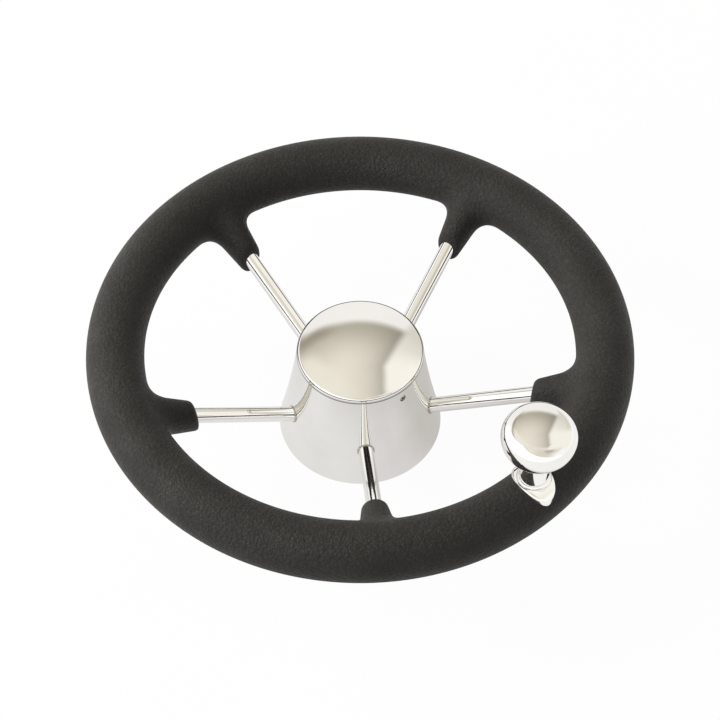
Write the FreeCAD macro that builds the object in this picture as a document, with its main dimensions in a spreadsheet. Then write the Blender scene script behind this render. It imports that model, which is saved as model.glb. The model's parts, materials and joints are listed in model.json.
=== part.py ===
# Five-spoke marine steering wheel with a foam grip, a conical hub and a spinner knob.
#
# Frame: +Z is the steering axis, pointing at the helmsman. The origin is the centre of the
# hub shell's open end, the face nearest the dashboard. The bottom spoke points along -Y.
#
# The rim is a round steel core ring inside a moulded foam grip. Five solid rods rise from the
# machined hub boss, pass through the conical hub shell and are coped onto the core ring. A
# domed centre cap covers the shaft nut. The spinner knob turns on a shouldered spindle that
# is screwed into a pedestal, and the pedestal is bolted through the core ring.
import FreeCAD, Part
import Sketcher
import math
import os
import sys
from FreeCAD import Vector, Placement, Rotation

os.makedirs("parts", exist_ok=True)
doc = FreeCAD.newDocument("MarineWheel")

# ---------------------------------------------------------------- driving sizes
# alias, value in millimetres (or degrees where said), meaning
SIZES = [
    ("wheel_od", 280.0, "outside diameter of the grip ring"),
    ("grip_d", 29.6, "grip section diameter"),
    ("rim_z", 65.6, "height of the rim's centre plane above the hub's open end"),
    ("core_d", 16.0, "core ring tube, outside diameter"),
    ("core_wall", 1.5, "core ring tube wall"),
    ("core_hole_gap", 0.3, "radial clearance of the knob bolt in the core ring"),
    ("spoke_d", 8.0, "spoke rod diameter"),
    ("spoke_tilt", 27.0, "spoke rise above the rim plane, degrees"),
    ("spoke_ref_radius", 38.0, "radius of a point on the spoke's centre line"),
    ("spoke_ref_z", 22.8, "height of that point"),
    ("rod_start", 10.0, "distance from the axis to a rod's inner end, before coping"),
    ("weld_gap", 0.1, "distance of a weld ring's centre circle outside its rod"),
    ("weld_thick", 1.2, "weld section radius at the boss and the core ring"),
    ("shell_weld_thick", 0.5, "weld section radius at the hub shell"),
    ("boot_end_radius", 90.5, "distance from the axis to a grip boot's end face"),
    ("boot_half_w", 6.5, "boot half width at its end, along the rim"),
    ("boot_half_t", 8.9, "boot half depth at its end, across the rod"),
    ("boot_grow_w", 0.13, "growth of the half width per millimetre towards the rim"),
    ("boot_grow_t", 0.11, "growth of the half depth per millimetre towards the rim"),
    ("boot_drop", 0.7, "boot centre line's drop below the rod's"),
    ("boot_fillet", 7.0, "blend between a boot and the grip ring"),
    ("boot_edge", 1.5, "round on a boot's end"),
    ("shell_base_radius", 43.4, "hub shell outside radius at its open end"),
    ("shell_mid_radius", 37.44, "hub shell outside radius half way up"),
    ("shell_top_radius", 32.99, "hub shell outside radius at the cap"),
    ("shell_high", 56.8, "hub shell height"),
    ("shell_wall", 1.5, "hub shell wall"),
    ("boss_radius", 17.0, "hub boss outside radius"),
    ("boss_low", 2.0, "hub boss lower face"),
    ("boss_high", 36.0, "hub boss upper face"),
    ("boss_chamfer", 1.0, "chamfer on the boss's lower outer edge"),
    ("taper_mouth_d", 19.05, "shaft taper, large end diameter (3/4 in)"),
    ("taper_ratio", 12.0, "shaft taper, one in this on diameter"),
    ("taper_chamfer", 0.8, "chamfer at the taper's mouth"),
    ("nose_d", 16.4, "clearance bore for the shaft's threaded nose"),
    ("nose_len", 6.0, "length of that bore"),
    ("key_w", 4.8, "keyway width (3/16 in)"),
    ("key_deep", 2.4, "keyway depth beyond the bore wall"),
    ("plate_low", 30.0, "hub web plate lower face"),
    ("plate_thick", 3.0, "hub web plate thickness"),
    ("seat_low", 45.0, "cap seat ring lower face"),
    ("seat_high", 55.5, "cap seat ring upper face"),
    ("seat_inner", 27.5, "cap seat ring inner radius"),
    ("cap_inset", 0.1, "cap edge inside the shell's top radius"),
    ("cap_foot_gap", 0.05, "gap between the shell's top and the cap"),
    ("cap_lip", 2.8, "lip on the cap's edge"),
    ("cap_round", 2.4, "round between the lip and the dome"),
    ("cap_rise", 5.65, "dome height above the lip"),
    ("cap_wall", 1.2, "cap thickness"),
    ("cap_inner_drop", 0.6, "inner dome's edge below the top of the lip"),
    ("spigot_gap", 0.15, "radial clearance of the cap's spigot in its seat"),
    ("spigot_wall", 1.6, "cap spigot wall"),
    ("spigot_low", 46.0, "cap spigot lower edge"),
    ("spigot_rise", 0.7, "cap spigot upper edge above the top of the lip"),
    ("grub_d", 3.0, "cap grub screw diameter (M3)"),
    ("grub_hole_gap", 0.1, "radial clearance of the grub screw in its hole"),
    ("grub_hex_af", 1.5, "cap grub screw socket, across flats"),
    ("grub_hex_deep", 1.8, "cap grub screw socket depth"),
    ("grub_len", 6.0, "cap grub screw length"),
    ("grub_tip_gap", 0.05, "gap between the grub screw and the spigot"),
    ("grub_chamfer", 0.25, "chamfer on the grub screw's end edges"),
    ("grub_z", 51.9, "cap grub screw height"),
    ("grub_azimuth", -54.0, "cap grub screw angle about the axis, degrees"),
    ("washer_radius", 14.0, "shaft washer outside radius"),
    ("washer_thick", 2.0, "shaft washer thickness"),
    ("washer_hole_d", 17.0, "shaft washer hole diameter"),
    ("washer_chamfer", 0.3, "chamfer on the shaft washer's lower edge"),
    ("nut_af", 23.8, "shaft nut across flats (5/8-18, 15/16 in)"),
    ("nut_high", 9.6, "shaft nut height"),
    ("nut_hole_d", 14.6, "shaft nut thread, minor diameter"),
    ("nut_hole_chamfer", 0.7, "chamfer at each end of the nut's bore"),
    ("nut_corner_high", 1.1, "height of the cone that trims the nut's corners"),
    ("nut_corner_over", 0.1, "turned blank's radius beyond the nut's corners"),
    ("knob_azimuth", -53.2, "knob angle about the axis, degrees"),
    ("ball_radius", 17.9, "knob ball half width"),
    ("ball_z", 116.0, "height of the knob ball's widest circle"),
    ("ball_top_curve", 45.0, "radius of the knob ball's flattened top"),
    ("ball_side_curve", 8.6, "radius of the knob ball's shoulder"),
    ("ball_low_curve", 14.7, "radius of the knob ball's underside"),
    ("ball_low_swing", 50.0, "angle the underside's arc spans, degrees"),
    ("ball_wall", 1.5, "knob ball wall"),
    ("ball_neck", 9.0, "knob ball opening radius"),
    ("ball_neck_drop", 0.8, "outer skin's drop from its arc to the opening"),
    ("ball_neck_drop_in", 0.3, "inner skin's drop from its arc to the opening"),
    ("stem_radius", 7.1, "pedestal stem radius"),
    ("stem_top", 102.6, "pedestal stem upper face"),
    ("stem_lift", 0.02, "stem's lower face above the grip's crown"),
    ("stem_chamfer", 0.4, "chamfer on the stem's upper edge"),
    ("saddle_half_w", 8.9, "saddle half width along the rim"),
    ("saddle_half_l", 12.5, "saddle half length across the rim"),
    ("saddle_thick", 2.5, "saddle thickness over the grip"),
    ("saddle_round", 1.6, "round on the saddle's upper edge"),
    ("saddle_turn", -5.5, "saddle's turn from square across the rim, degrees"),
    ("collar_radius", 8.5, "collar radius at the foot of the stem"),
    ("collar_top", 83.1, "collar upper face"),
    ("collar_edge", 0.3, "height of the bevel on the collar's upper edge"),
    ("collar_fillet", 1.3, "blend between collar and stem"),
    ("spigot_radius", 5.5, "pedestal foot radius through the foam"),
    ("foot_gap", 0.02, "radial clearance of the pedestal foot in the foam"),
    ("bolt_d", 6.0, "knob bolt diameter (M6)"),
    ("bolt_grip", 23.0, "knob bolt length under its head"),
    ("bolt_head_d", 10.0, "knob bolt head diameter"),
    ("bolt_head_high", 4.0, "knob bolt head height"),
    ("bolt_head_chamfer", 0.5, "chamfer on the bolt head's lower edge"),
    ("bolt_tap_deep", 18.0, "top of the bolt's tapped hole above the rim plane"),
    ("bolt_washer_radius", 6.2, "bolt washer radius"),
    ("bolt_washer_thick", 1.2, "bolt washer thickness below the core ring"),
    ("bolt_washer_gap", 0.2, "radial clearance of the bolt in its washer"),
    ("bolt_washer_drop", 5.0, "bolt washer's upper limit, below the rim plane"),
    ("pocket_radius", 7.0, "counterbore in the grip under the knob"),
    ("spindle_d", 10.0, "knob spindle shoulder diameter"),
    ("spindle_thread_d", 8.0, "knob spindle thread (M8)"),
    ("spindle_thread_len", 10.0, "knob spindle thread length"),
    ("spindle_tap_extra", 1.0, "tapped hole's depth beyond the spindle's end"),
    ("spindle_head_radius", 8.0, "knob spindle head radius"),
    ("spindle_head_high", 3.0, "knob spindle head height"),
    ("spindle_head_chamfer", 0.6, "chamfer on the spindle head's upper edge"),
    ("shoulder_rise", 0.9, "underside of the spindle head above the bush"),
    ("thread_chamfer", 0.8, "tip chamfer of the knob bolt and the spindle"),
    ("socket_af", 5.0, "bolt and spindle sockets, across flats"),
    ("socket_deep", 3.0, "depth of those sockets"),
    ("bush_gap", 0.05, "running clearance between bush and spindle"),
    ("bush_radius", 7.0, "knob bush outside radius"),
    ("bush_low", 103.4, "knob bush lower face"),
    ("bush_high", 116.0, "knob bush upper face"),
    ("knob_washer_gap", 0.05, "gaps from the knob's washers to spindle and bush"),
    ("thrust_inset", 0.1, "thrust washer's edge inside the bush's radius"),
    ("hub_drop", 0.4, "knob hub's lower face below the bush"),
    ("hub_bore_chamfer", 0.3, "widening of the knob hub's bore at its lower face"),
    ("hub_chamfer", 0.8, "chamfer on the knob hub's upper edge"),
    ("thread_gap", 0.05, "radial allowance that stands for thread form"),
]


class Quantity:
    """A size with its number and the sheet expression that gives it."""

    def __init__(self, number, text):
        self.number = float(number)
        self.text = text

    def __add__(self, other):
        other = quantity(other)
        return Quantity(self.number + other.number, "(%s + %s)" % (self.text, other.text))

    def __sub__(self, other):
        other = quantity(other)
        return Quantity(self.number - other.number, "(%s - %s)" % (self.text, other.text))

    def __mul__(self, other):
        other = quantity(other)
        return Quantity(self.number * other.number, "(%s * %s)" % (self.text, other.text))

    def __truediv__(self, other):
        other = quantity(other)
        return Quantity(self.number / other.number, "(%s / %s)" % (self.text, other.text))


def quantity(value):
    return value if isinstance(value, Quantity) else Quantity(value, repr(float(value)))


def trig(function, degrees):
    degrees = quantity(degrees)
    number = getattr(math, function)(math.radians(degrees.number))
    return Quantity(number, "%s(%s * 1 deg)" % (function, degrees.text))


class Dimensions:
    """The sheet's sizes as quantities, one attribute for each alias."""


dim = Dimensions()
sheet = doc.addObject("Spreadsheet::Sheet", "Sizes")
for row, (alias, value, meaning) in enumerate(SIZES, start=1):
    sheet.set("A%d" % row, alias)
    sheet.set("B%d" % row, repr(value))
    sheet.set("C%d" % row, meaning)
    sheet.setAlias("B%d" % row, alias)
    setattr(dim, alias, Quantity(value, "Sizes." + alias))
doc.recompute()

OVERRUN = 1.0  # how far a cutter or a joined piece runs past the face it starts from
UP = Vector(0, 0, 1)


# ---------------------------------------------------------------- binding and placing
def bind(obj, **sizes):
    """Sets properties and binds them to the sheet."""
    for name, value in sizes.items():
        value = quantity(value)
        setattr(obj, name, value.number)
        obj.setExpression(name, value.text)


def place(obj, x=None, y=None, z=None):
    """Binds an object's position to the sheet."""
    for key, value in (("x", x), ("y", y), ("z", z)):
        if value is not None:
            obj.setExpression("Placement.Base." + key, quantity(value).text)


def polar(radius, azimuth):
    """The x and y of a point at this radius and angle in degrees."""
    radius = quantity(radius)
    return radius * trig("cos", azimuth), radius * trig("sin", azimuth)


def heading(azimuth, rise=0.0):
    """Unit vector outward at this azimuth in degrees, rising by this many radians."""
    angle = math.radians(azimuth)
    return Vector(
        math.cos(angle) * math.cos(rise),
        math.sin(angle) * math.cos(rise),
        math.sin(rise),
    )


rim_radius = (dim.wheel_od - dim.grip_d) / 2.0
knob_x, knob_y = polar(rim_radius, dim.knob_azimuth)


def at_knob(obj):
    """Moves an object built about +Z onto the knob's axis."""
    place(obj, knob_x, knob_y)
    return obj


# ---------------------------------------------------------------- solids
def profile(body, name, points):
    """A closed sketch in the XZ plane.

    Each point is (x, z), or (x, z, (x, z)) for an arc from the last point through the inner pair.
    """
    sketch = body.newObject("Sketcher::SketchObject", name)
    plane = [f for f in body.Origin.OriginFeatures if f.Role == "XZ_Plane"][0]
    sketch.AttachmentSupport = [(plane, "")]
    sketch.MapMode = "FlatFace"
    corners = [(quantity(p[0]), quantity(p[1])) for p in points]
    count = len(points)
    ends = []  # start and end vertex numbers of each piece, in drawing order
    for i in range(count):
        following = (i + 1) % count
        start, end = (Vector(x.number, y.number, 0) for x, y in (corners[i], corners[following]))
        if len(points[following]) == 3:
            middle = Vector(*(quantity(v).number for v in points[following][2]), 0)
            # arcs run counter-clockwise, so one that turns the other way starts at its far end
            if (middle - start).cross(end - middle).z > 0:
                sketch.addGeometry(Part.Arc(start, middle, end), False)
                ends.append((1, 2))
            else:
                sketch.addGeometry(Part.Arc(end, middle, start), False)
                ends.append((2, 1))
        else:
            sketch.addGeometry(Part.LineSegment(start, end), False)
            ends.append((1, 2))
    doc.recompute()
    for i in range(count):
        following = (i + 1) % count
        sketch.addConstraint(
            Sketcher.Constraint("Coincident", i, ends[i][1], following, ends[following][0])
        )
    for i, (x, y) in enumerate(corners):
        start = ends[i][0]
        for kind, value, axis in (("DistanceX", x, -2), ("DistanceY", y, -1)):
            if abs(value.number) < 1e-9:
                sketch.addConstraint(Sketcher.Constraint("PointOnObject", i, start, axis))
                continue
            index = sketch.addConstraint(
                Sketcher.Constraint(kind, -1, 1, i, start, value.number)
            )
            label = "p%d%s" % (i, kind[-1].lower())
            sketch.renameConstraint(index, label)
            sketch.setExpression("Constraints." + label, value.text)
        if len(points[(i + 1) % count]) == 3:
            index = sketch.addConstraint(
                Sketcher.Constraint("Radius", i, sketch.Geometry[i].Radius)
            )
            sketch.renameConstraint(index, "arc%d" % i)
    return sketch


def turned(name, points):
    """A body turned about +Z from its half section in the XZ plane."""
    body = doc.addObject("PartDesign::Body", name)
    sketch = profile(body, name + "_section", points)
    revolution = body.newObject("PartDesign::Revolution", name + "_turn")
    revolution.Profile = sketch
    revolution.ReferenceAxis = (sketch, ["V_Axis"])
    revolution.Angle = 360.0
    sketch.Visibility = False
    doc.recompute()
    return body


def tube(name, inner, outer, low, high):
    """A turned ring of rectangular section."""
    return turned(name, [(inner, low), (outer, low), (outer, high), (inner, high)])


def cylinder(name, radius, low, high):
    solid = doc.addObject("Part::Cylinder", name)
    low = quantity(low)
    bind(solid, Radius=radius, Height=quantity(high) - low)
    place(solid, z=low)
    return solid


def knob_cylinder(name, radius, low, high):
    return at_knob(cylinder(name, radius, low, high))


def rim_torus(name, section_radius):
    """A ring about the rim's centre circle."""
    torus = doc.addObject("Part::Torus", name)
    bind(torus, Radius1=rim_radius, Radius2=section_radius)
    place(torus, z=dim.rim_z)
    return torus


def hexagon(name, across_flats, high):
    prism = doc.addObject("Part::Prism", name)
    prism.Polygon = 6
    bind(prism, Circumradius=across_flats / math.sqrt(3.0), Height=high)
    return prism


def knob_socket(name, low):
    """Cutter for a hexagon socket on the knob's axis."""
    cutter = at_knob(hexagon(name, dim.socket_af, dim.socket_deep + OVERRUN))
    place(cutter, z=low)
    return cutter


def cut(name, base, tool, keep_faces=False):
    result = doc.addObject("Part::Cut", name)
    result.Base, result.Tool = base, tool
    if keep_faces:
        result.Refine = False
    return result


def fuse(name, *shapes):
    result = doc.addObject("Part::MultiFuse", name)
    result.Shapes = list(shapes)
    return result


def joined(name, base, tool):
    """A union of two shapes that keeps their faces as they are."""
    result = doc.addObject("Part::Fuse", name)
    result.Base, result.Tool = base, tool
    result.Refine = False
    return result


def common(name, base, tool):
    result = doc.addObject("Part::Common", name)
    result.Base, result.Tool = base, tool
    return result


# ---------------------------------------------------------------- picking and dressing edges
def find_edges(obj, test):
    """Numbers of the object's edges that pass the test."""
    doc.recompute()
    return [i for i, edge in enumerate(obj.Shape.Edges, start=1) if test(edge)]


def dress(kind, name, base, edges, amount):
    """Puts a Fillet or a Chamfer of one size on these edges."""
    result = doc.addObject("Part::" + kind, name)
    result.Base = base
    result.Edges = [(i, amount.number, amount.number) for i in edges]
    doc.recompute()
    return result


def points_on(edge, shares):
    """Points at these shares of an edge's parameter range."""
    span = edge.LastParameter - edge.FirstParameter
    return [edge.valueAt(edge.FirstParameter + span * share) for share in shares]


def axis_distance(point):
    return math.hypot(point.x, point.y)


def rim_distance(point):
    """Distance from the rim's centre circle."""
    return math.hypot(axis_distance(point) - rim_radius.number, point.z - dim.rim_z.number)


# ---------------------------------------------------------------- core ring
CORE_DRILL_REACH = 12.0  # drill's half length, past both walls of the tube

core_envelope = rim_torus("core_envelope", dim.core_d / 2.0)
core_bore = rim_torus("core_bore", dim.core_d / 2.0 - dim.core_wall)
core_drill = knob_cylinder(
    "core_drill",
    dim.bolt_d / 2.0 + dim.core_hole_gap,
    dim.rim_z - CORE_DRILL_REACH,
    dim.rim_z + CORE_DRILL_REACH,
)
core_tube = cut("core_tube", core_envelope, core_bore)
rim_core_ring = cut("rim_core_ring", core_tube, core_drill)

# ---------------------------------------------------------------- spokes
SPOKE_NAMES = (
    "spoke_bottom",
    "spoke_lower_right",
    "spoke_upper_right",
    "spoke_upper_left",
    "spoke_lower_left",
)
SPOKES = [(name, -90.0 + 72.0 * i) for i, name in enumerate(SPOKE_NAMES)]
tilt = math.radians(dim.spoke_tilt.number)


def spoke_height(radius):
    """Height of a spoke's centre line at this distance from the axis."""
    run = quantity(radius) - dim.spoke_ref_radius
    return dim.spoke_ref_z + run * trig("tan", dim.spoke_tilt)


def spoke_point(radius, azimuth):
    """A point on a spoke's centre line, at this distance from the axis."""
    angle = math.radians(azimuth)
    return Vector(
        radius * math.cos(angle), radius * math.sin(angle), spoke_height(radius).number
    )


def spoke_rod(name, azimuth):
    """A rod that runs from inside the boss to the rim's centre circle radius."""
    rod = doc.addObject("Part::Cylinder", name)
    length = (rim_radius - dim.rod_start) / trig("cos", dim.spoke_tilt)
    bind(rod, Radius=dim.spoke_d / 2.0, Height=length)
    rod.Placement = Placement(
        spoke_point(dim.rod_start.number, azimuth), Rotation(UP, heading(azimuth, tilt))
    )
    place(rod, *polar(dim.rod_start, azimuth), spoke_height(dim.rod_start))
    return rod


boss_envelope = cylinder("boss_envelope", dim.boss_radius, dim.boss_low, dim.boss_high)
rods = []
spokes = []
for name, azimuth in SPOKES:
    rod = spoke_rod(name + "_rod", azimuth)
    rods.append(rod)
    coped = cut(name + "_coped", rod, core_envelope)
    spokes.append(cut(name, coped, boss_envelope))
doc.recompute()
all_rods = fuse("all_rods", *rods)


# ---------------------------------------------------------------- weld fillets, boss and core
def bead_rings(label, radius, lift, thick):
    """A ring round each rod at this distance from the axis.

    lift is the rise of the ring's own axis in radians.
    """
    rings = []
    for name, azimuth in SPOKES:
        torus = doc.addObject("Part::Torus", "%s_%s" % (label, name))
        bind(torus, Radius1=dim.spoke_d / 2.0 + dim.weld_gap, Radius2=thick)
        torus.Placement = Placement(
            spoke_point(radius, azimuth), Rotation(UP, heading(azimuth, lift))
        )
        rings.append(torus)
    return fuse(label + "_rings", *rings)


def weld_beads(label, radius, lift, thick, wall):
    """The rings left outside the rods and outside the piece they are welded to."""
    rings = bead_rings(label, radius, lift, thick)
    tools = fuse(label + "_tools", wall, all_rods)
    return cut(label, rings, tools)


def step_out(radius, short_of):
    """Walks outward in steps of 0.01 until the radius is no longer short of its target."""
    while short_of(radius):
        radius += 0.01
    return radius


def to_core_centre(radius):
    """From a spoke's centre line at this radius to the centre of the core ring's section."""
    point = spoke_point(radius, 0.0)
    return Vector(rim_radius.number - point.x, 0.0, dim.rim_z.number - point.z)


boss_weld_beads = weld_beads(
    "boss_weld_beads", dim.boss_radius.number, 0.0, dim.weld_thick, boss_envelope
)
# where a rod's centre line meets the core ring's surface
core_meet = step_out(100.0, lambda r: to_core_centre(r).Length > dim.core_d.number / 2.0)
core_lift = math.atan2(to_core_centre(core_meet).z, to_core_centre(core_meet).x)
core_weld_beads = weld_beads(
    "core_weld_beads", core_meet, core_lift, dim.weld_thick, core_envelope
)
doc.recompute()

# ---------------------------------------------------------------- foam grip
BOOT_STATIONS = (86.0, 105.0, 124.0)  # distances from the axis to the boot's loft sections
GRIP_TRIM_HIGH = 140.0  # top of the cylinder that trims the boots' ends
GRIP_BORE_REACH = 40.0  # the bores' reach from the rim plane, past the foam


def boot_section(name, radius, azimuth):
    """An ellipse square to the rod, its long axis across the rim."""
    ellipse = doc.addObject("Part::Ellipse", name)
    run = (quantity(radius) - dim.boot_end_radius) / trig("cos", dim.spoke_tilt)
    bind(
        ellipse,
        MajorRadius=dim.boot_half_t + run * dim.boot_grow_t,
        MinorRadius=dim.boot_half_w + run * dim.boot_grow_w,
    )
    axis = heading(azimuth, tilt)
    up = axis.cross(heading(azimuth + 90.0))
    side = axis.cross(up)
    frame = FreeCAD.Matrix(
        up.x, side.x, axis.x, 0,
        up.y, side.y, axis.y, 0,
        up.z, side.z, axis.z, 0,
        0, 0, 0, 1,
    )
    ellipse.Placement = Placement(
        spoke_point(radius, azimuth) - up * dim.boot_drop.number, Rotation(frame)
    )
    return ellipse


def boot(name, azimuth):
    """The foam boot round one rod."""
    sections = [
        boot_section("%s_boot_%d" % (name, i), radius, azimuth)
        for i, radius in enumerate(BOOT_STATIONS)
    ]
    loft = doc.addObject("Part::Loft", name + "_boot")
    loft.Sections = sections
    loft.Solid = True
    loft.Ruled = False
    return loft


def is_boot_root(edge):
    """An edge where a boot meets the grip ring."""
    points = points_on(edge, (0.03, 0.31, 0.5, 0.77, 0.97))
    if not all(abs(rim_distance(p) - dim.grip_d.number / 2.0) < 1e-3 for p in points):
        return False
    radii = [axis_distance(p) for p in points]
    return max(radii) < rim_radius.number - 2.0 and max(radii) - min(radii) > 0.3


def is_boot_end(edge):
    """An edge on the cylinder that trims the boots."""
    end_radius = dim.boot_end_radius.number
    points = points_on(edge, (0.03, 0.5, 0.97))
    return all(abs(axis_distance(p) - end_radius) < 1e-3 for p in points)


grip_envelope = rim_torus("grip_envelope", dim.grip_d / 2.0)
boots = [boot(name, azimuth) for name, azimuth in SPOKES]
doc.recompute()
grip_raw = fuse("grip_raw", grip_envelope, *boots)
grip_end = cylinder("grip_end", dim.boot_end_radius, 0.0, GRIP_TRIM_HIGH)
grip_trim = cut("grip_trim", grip_raw, grip_end)
roots = find_edges(grip_trim, is_boot_root)
tips = find_edges(grip_trim, is_boot_end)
if len(roots) != 15 or len(tips) != 5:
    sys.exit("boot edges not found: %s %s" % (roots, tips))
grip_blend = dress("Fillet", "grip_blend", grip_trim, roots, dim.boot_fillet)
tips = find_edges(grip_blend, is_boot_end)
grip_body = dress("Fillet", "grip_body", grip_blend, tips, dim.boot_edge)

pedestal_bore = knob_cylinder(
    "pedestal_bore",
    dim.spigot_radius + dim.foot_gap,
    dim.rim_z,
    dim.rim_z + GRIP_BORE_REACH,
)
bolt_pocket = knob_cylinder(
    "bolt_pocket", dim.pocket_radius, dim.rim_z - GRIP_BORE_REACH, dim.rim_z
)
weld_room = bead_rings("weld_room", core_meet, core_lift, dim.weld_thick)
grip_tools = fuse(
    "grip_tools", core_envelope, pedestal_bore, bolt_pocket, weld_room, all_rods
)
foam_grip = cut("foam_grip", grip_body, grip_tools)
doc.recompute()

# ---------------------------------------------------------------- hub shell
GRUB_HOLE_INSET = 3.0  # the grub hole's start inside the seat ring's inner radius
half_high = dim.shell_high / 2.0


def shell_fill(name, wall):
    """The solid space inside the shell's outer face, drawn in by this wall."""
    return turned(
        name,
        [
            (0.0, 0.0),
            (dim.shell_base_radius - wall, 0.0),
            (
                dim.shell_top_radius - wall,
                dim.shell_high,
                (dim.shell_mid_radius - wall, half_high),
            ),
            (0.0, dim.shell_high),
        ],
    )


def shell_outer_at(z):
    """Outside radius at this height, on the arc through the shell's three stated radii."""
    arc = Part.Circle(
        Vector(dim.shell_base_radius.number, 0, 0),
        Vector(dim.shell_mid_radius.number, half_high.number, 0),
        Vector(dim.shell_top_radius.number, dim.shell_high.number, 0),
    )
    return arc.Center.x - math.sqrt(arc.Radius**2 - (z - arc.Center.y) ** 2)


def lay_on_grub_axis(solid, start):
    """Turns a solid built along +Z to run outward on the grub screw's axis from this radius."""
    solid.Placement = Placement(Vector(), Rotation(UP, heading(dim.grub_azimuth.number)))
    place(solid, *polar(start, dim.grub_azimuth), dim.grub_z)


def grub_cylinder(name, radius, first, last):
    solid = doc.addObject("Part::Cylinder", name)
    bind(solid, Radius=radius, Height=last - first)
    lay_on_grub_axis(solid, first)
    return solid


shell_plug = shell_fill("shell_plug", 0.0)
shell_space = shell_fill("shell_space", dim.shell_wall)
shell_turned = turned(
    "hub_shell_turned",
    [
        (
            dim.shell_base_radius - dim.shell_wall,
            0.0,
            (dim.shell_mid_radius - dim.shell_wall, half_high),
        ),
        (dim.shell_base_radius, 0.0),
        (dim.shell_top_radius, dim.shell_high, (dim.shell_mid_radius, half_high)),
        (dim.shell_top_radius - dim.shell_wall, dim.shell_high),
    ],
)
grub_hole = grub_cylinder(
    "grub_hole",
    dim.grub_d / 2.0 + dim.grub_hole_gap,
    dim.seat_inner - GRUB_HOLE_INSET,
    dim.shell_base_radius,
)
shell_tools = fuse("shell_tools", grub_hole, all_rods)
hub_shell = cut("hub_shell", shell_turned, shell_tools)

# ---------------------------------------------------------------- hub boss
mouth_radius = dim.taper_mouth_d / 2.0
nose_radius = dim.nose_d / 2.0
taper_top = dim.boss_high - dim.nose_len
taper_len = taper_top - dim.boss_low
taper_small_d = dim.taper_mouth_d - taper_len / dim.taper_ratio
hub_boss_turned = turned(
    "hub_boss_turned",
    [
        (mouth_radius + dim.taper_chamfer, dim.boss_low),
        (dim.boss_radius - dim.boss_chamfer, dim.boss_low),
        (dim.boss_radius, dim.boss_low + dim.boss_chamfer),
        (dim.boss_radius, dim.boss_high),
        (nose_radius, dim.boss_high),
        (nose_radius, taper_top),
        (taper_small_d / 2.0, taper_top),
        (mouth_radius, dim.boss_low + dim.taper_chamfer),
    ],
)
keyway = doc.addObject("Part::Box", "keyway")
bind(
    keyway,
    Length=dim.key_w,
    Width=mouth_radius + dim.key_deep,
    Height=taper_len + OVERRUN,
)
place(keyway, dim.key_w * -0.5, 0.0, dim.boss_low - OVERRUN)
hub_boss = cut("hub_boss", hub_boss_turned, keyway)

# ---------------------------------------------------------------- web plate
plate_ring = tube(
    "plate_ring",
    dim.boss_radius,
    dim.shell_base_radius,
    dim.plate_low,
    dim.plate_low + dim.plate_thick,
)
hub_plate = common("hub_plate", plate_ring, shell_space)

# ---------------------------------------------------------------- weld fillets, hub shell
# where a rod's centre line meets the shell's outer face
shell_meet = step_out(30.0, lambda r: r < shell_outer_at(spoke_height(r).number))
meet_z = spoke_height(shell_meet).number
# the face's lean from upright there, taken over one millimetre each way
lean = math.atan((shell_outer_at(meet_z - 1.0) - shell_outer_at(meet_z + 1.0)) / 2.0)
hub_weld_beads = weld_beads(
    "hub_weld_beads", shell_meet, lean, dim.shell_weld_thick, shell_plug
)
doc.recompute()

# ---------------------------------------------------------------- cap seat ring
seat_ring = tube(
    "seat_ring", dim.seat_inner, dim.shell_base_radius, dim.seat_low, dim.seat_high
)
seat_turned = common("seat_turned", seat_ring, shell_space)
cap_seat_ring = cut("cap_seat_ring", seat_turned, grub_hole)

# ---------------------------------------------------------------- centre cap
cap_edge = dim.shell_top_radius - dim.cap_inset
cap_foot = dim.shell_high + dim.cap_foot_gap
lip_top = cap_foot + dim.cap_lip
crown = lip_top + dim.cap_rise


def dome_middle(edge, low, top):
    """The point at half the edge radius on a spherical dome's profile."""
    rise = (top - low).number
    radius = (edge.number**2 + rise**2) / (2 * rise)
    x = edge.number * 0.5
    return (x, low.number + rise - (radius - math.sqrt(radius**2 - x**2)))


# the dome leaves the lip at this slope; the round joins the two
slope = 2.0 * math.atan2(dim.cap_rise.number, cap_edge.number)
turn = math.pi / 2.0 - slope
tangent = dim.cap_round * math.tan(turn / 2.0)
dome_edge = cap_edge - tangent * math.cos(slope)
dome_low = lip_top + tangent * math.sin(slope)
round_middle = (
    cap_edge - dim.cap_round + dim.cap_round * math.cos(turn / 2.0),
    lip_top - tangent + dim.cap_round * math.sin(turn / 2.0),
)
inner_edge = cap_edge - dim.cap_wall
inner_low = lip_top - dim.cap_inner_drop
inner_crown = crown - dim.cap_wall
centre_cap = turned(
    "centre_cap",
    [
        (inner_edge, cap_foot),
        (cap_edge, cap_foot),
        (cap_edge, lip_top - tangent),
        (dome_edge, dome_low, round_middle),
        (0.0, crown, dome_middle(dome_edge, dome_low, crown)),
        (0.0, inner_crown),
        (inner_edge, inner_low, dome_middle(inner_edge, inner_low, inner_crown)),
    ],
)
spigot_outer = dim.seat_inner - dim.spigot_gap
cap_spigot = tube(
    "cap_spigot",
    spigot_outer - dim.spigot_wall,
    spigot_outer,
    dim.spigot_low,
    lip_top + dim.spigot_rise,
)

# ---------------------------------------------------------------- cap grub screw
GRUB_HEX_CUTTER = 3.0  # socket cutter's length, deeper than the socket

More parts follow.
